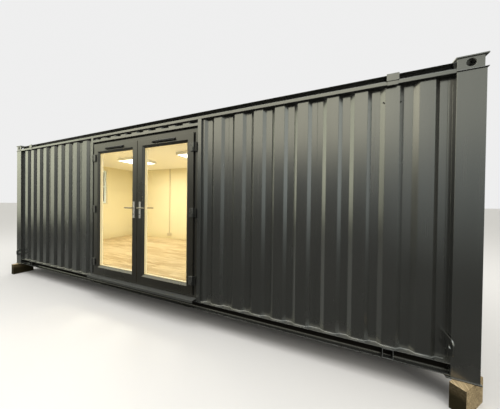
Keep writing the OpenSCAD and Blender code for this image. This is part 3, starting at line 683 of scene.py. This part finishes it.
def lock_cylinder(x, face, out, z, body):
    """A round lock with its keyway, on a backplate."""
    begin()
    bpy.ops.mesh.primitive_cylinder_add(vertices=24, radius=0.009, depth=0.006, location=(x, face, z),
                                        rotation=(math.pi / 2, 0, 0))
    piece = started("lock_cylinder")
    choose(piece, "FACE", lambda spot, way: way.y * out > 0.9)
    bpy.ops.mesh.inset(thickness=0.0015, depth=0)
    bpy.ops.mesh.inset(thickness=0.0006, depth=-0.0008)
    bpy.ops.mesh.inset(thickness=0.003, depth=0)
    bpy.ops.transform.resize(value=(0.35, 1, 1.1), center_override=(x, face, z))
    bpy.ops.mesh.extrude_region_move(TRANSFORM_OT_translate={"value": (0, -0.002 * out, 0)})
    return finished(piece, zinc, body)


def plate_screw(x, face, out, z, body):
    """A countersunk screw at one end of a backplate."""
    begin()
    bpy.ops.mesh.primitive_cylinder_add(vertices=16, radius=0.0045, depth=0.003, location=(x, face, z),
                                        rotation=(math.pi / 2, 0, 0))
    piece = started("plate_screw")
    choose(piece, "FACE", lambda spot, way: way.y * out > 0.9)
    bpy.ops.mesh.bevel(offset=0.0008, segments=2)
    choose(piece, "FACE", lambda spot, way: way.y * out > 0.99)
    bpy.ops.mesh.inset(thickness=0.0016, depth=0)
    bpy.ops.mesh.extrude_region_move(TRANSFORM_OT_translate={"value": (0, -0.001 * out, 0)})
    return finished(piece, zinc, body)


lock_z = 1.373
screw_in = 0.014
for side, body in ((-1, "left_door"), (1, "right_door")):
    pane_gaskets(side, body)
    middle_x = side * (plate_low.x + plate_high.x) / 2
    for face, out in ((plate_low.y, -1), (plate_high.y, 1)):
        lock_cylinder(middle_x, face, out, lock_z, body)
        for screw_z in (plate_low.z + screw_in, plate_high.z - screw_in):
            plate_screw(middle_x, face, out, screw_z, body)


# ---------------------------------------------------------------- room

panel_low, panel_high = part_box("ceiling_lights")
floor_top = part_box("floor_covering")[1].z
rear_low, rear_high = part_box("rear_lining")
end_wall_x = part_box("left_end_lining")[1].x
window_low, window_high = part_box("window_frame")
light_w = 0.595
light_places = [i * (panel_high.x - light_w / 2) for i in (-1, 0, 1)]


def light_rims():
    """The white edge round each ceiling light's glowing sheet."""
    half, width = light_w / 2, 0.014
    first = ring("light_rim", (-half, -half, panel_low.z - 0.002), (half, half, panel_low.z + 0.001), width, 2,
                 white, "cabin")
    for x in (light_places[0], light_places[2]):
        copied(first, (x, 0, 0), "cabin")


def board_joints():
    """Narrow cover strips where the lining boards meet: upright at the rear, level beside the end window."""
    proud, sunk, edge = 0.003, 0.001, 0.0015
    rear_joint_x, rear_half, end_joint_z, end_half, surround_w = 2.74, 0.014, 1.86, 0.012, 0.035
    wall = rear_low.y
    for x in (-rear_joint_x, rear_joint_x):
        strip("rear_board_joint", (x - rear_half, wall - proud, floor_top),
              (x + rear_half, wall + sunk, rear_high.z), board, "cabin", edge)
    for low_y, high_y in ((window_high.y + surround_w, wall), (-wall, window_low.y - surround_w)):
        strip("end_board_joint", (end_wall_x - sunk, low_y, end_joint_z - end_half),
              (end_wall_x + proud, high_y, end_joint_z + end_half), board, "cabin", edge)


light_rims()
board_joints()


# ---------------------------------------------------------------- studio

def studio_floor():
    """A pale floor that holds the shadow. It lights the cabin less than it shows."""
    bpy.ops.object.select_all(action="DESELECT")
    bpy.ops.mesh.primitive_plane_add(size=300, location=(0, 0, 0))
    floor = bpy.context.active_object
    floor.name = "studio_floor"
    f = Finish("studio_floor")
    seen = f.maths("MAXIMUM", f.node("ShaderNodeLightPath", out="Is Camera Ray"),
                   f.node("ShaderNodeLightPath", out="Is Transmission Ray"))
    tone = f.mix(seen, (0.13, 0.12, 0.1), (0.72, 0.71, 0.69))
    floor.data.materials.append(f.done(base_color=tone, roughness=0.9, specular_ior_level=0.1))
    floor.visible_glossy = False


def studio_world():
    """Plain light from above. Glossy paint mirrors soft bands of light instead, which depend on the direction:
    side is how far it points to the right (x on a circle) and rise is how far it points up."""
    world = bpy.data.worlds.new("studio")
    bpy.context.scene.world = world
    f = Finish("studio", world)
    ray = f.node("ShaderNodeTexCoord", out="Generated")
    x, y, z = (f.node("ShaderNodeSeparateXYZ", None, {0: ray}, out=name) for name in "XYZ")
    level = f.maths("SQRT", x * x + y * y)
    side, rise = x / level, z / level
    left = f.between(side, -0.885, -0.845, 1, 0)
    right = f.between(side, 0.05, 0.33)
    front = 1 - left - right
    by_doors = f.between(side, -0.72, -0.6, 1, 0)
    near_right = f.between(side, 0.06, 0.14) * f.between(side, 0.27, 0.33, 1, 0)
    shade = f.between(side, 0.36, 0.42) - f.between(side, 0.47, 0.55)
    far_right = f.between(side, 0.75, 0.85) * f.between(side, 0.99, 0.98)

    ground = 0.075 - front * by_doors * 0.035 + left * f.between(rise, -0.19, -0.14, 0.24, 0.015)
    left_wall = left * (f.between(rise, -0.1, -0.03, 0, 1.2) + f.between(rise, -0.03, 0.15, 0, 0.65))
    eye_level = (right * f.between(rise, -0.25, 0.15, 0, 0.56) * (1 - shade * 0.3)
                 + far_right * f.between(rise, -0.35, 0.15, 0, 0.42)
                 + front * f.between(rise, -0.1, 0.2, 0, 0.24) * (1 - by_doors * 0.7))
    front_top = f.between(rise, 0.18, 0.31, 0, 1.38) + by_doors * f.between(rise, 0.1, 0.24, 0, 0.6)
    top = (right * f.between(rise, 0.12, 0.3, 0, 0.4)
           + near_right * f.between(rise, 0.08, 0.25, 0, 0.35) + front * front_top)
    overhead = f.between(rise, 0.7, 2.5, 0, 1.6)
    shine = f.both(f.glow((0.98, 1.0, 0.9), ground), f.glow((0.9, 1.0, 0.95), eye_level))
    shine = f.both(f.both(shine, f.glow((1.05, 1.0, 0.76), top)), f.glow((0.95, 1.0, 1.05), overhead))
    shine = f.both(shine, f.glow((0.98, 1.0, 0.75), left_wall))

    plain = f.glow((1.0, 0.99, 0.96), 0.28 + f.between(z, 0.0, 1.0, 0, 0.8))
    glossy = f.node("ShaderNodeLightPath", out="Is Glossy Ray")
    camera = f.node("ShaderNodeLightPath", out="Is Camera Ray")
    tone = f.mix(camera, f.mix(glossy, plain, shine), (0.86, 0.86, 0.86))
    f.ended(f.node("ShaderNodeBackground", None, {"Color": tone, "Strength": 1.0}), "ShaderNodeOutputWorld")


def area_lamp(name, place, aim, size, power, colour=(1, 1, 1)):
    data = bpy.data.lights.new(name, "AREA")
    data.shape = "RECTANGLE"
    data.size, data.size_y = size
    data.energy = power
    data.color = colour
    lamp = bpy.data.objects.new(name, data)
    bpy.context.scene.collection.objects.link(lamp)
    lamp.location = place
    lamp.rotation_euler = (Vector(aim) - Vector(place)).to_track_quat("-Z", "Y").to_euler()
    lamp.visible_camera = False
    lamp.visible_glossy = False


studio_floor()
studio_world()
area_lamp("top_softbox", (0, -2, 8), (0, 0, 0), (12, 8), 600)
area_lamp("side_softbox", (11, -6, 6), (3.5, -1.3, 0.1), (8, 6), 330, (1.0, 0.96, 0.88))
for light_x, power in zip(light_places, (29, 12, 11)):
    area_lamp("room_lamp", (light_x, 0, panel_low.z - 0.01), (light_x, 0, 0), (0.58, 0.58), power,
              (1.0, 0.96, 0.86))
area_lamp("room_fill", (0, 0, floor_top + 0.02), (0, 0, 3), (6.6, 2.1), 27, (1.0, 0.95, 0.84))

bpy.context.scene.view_settings.view_transform = "Standard"
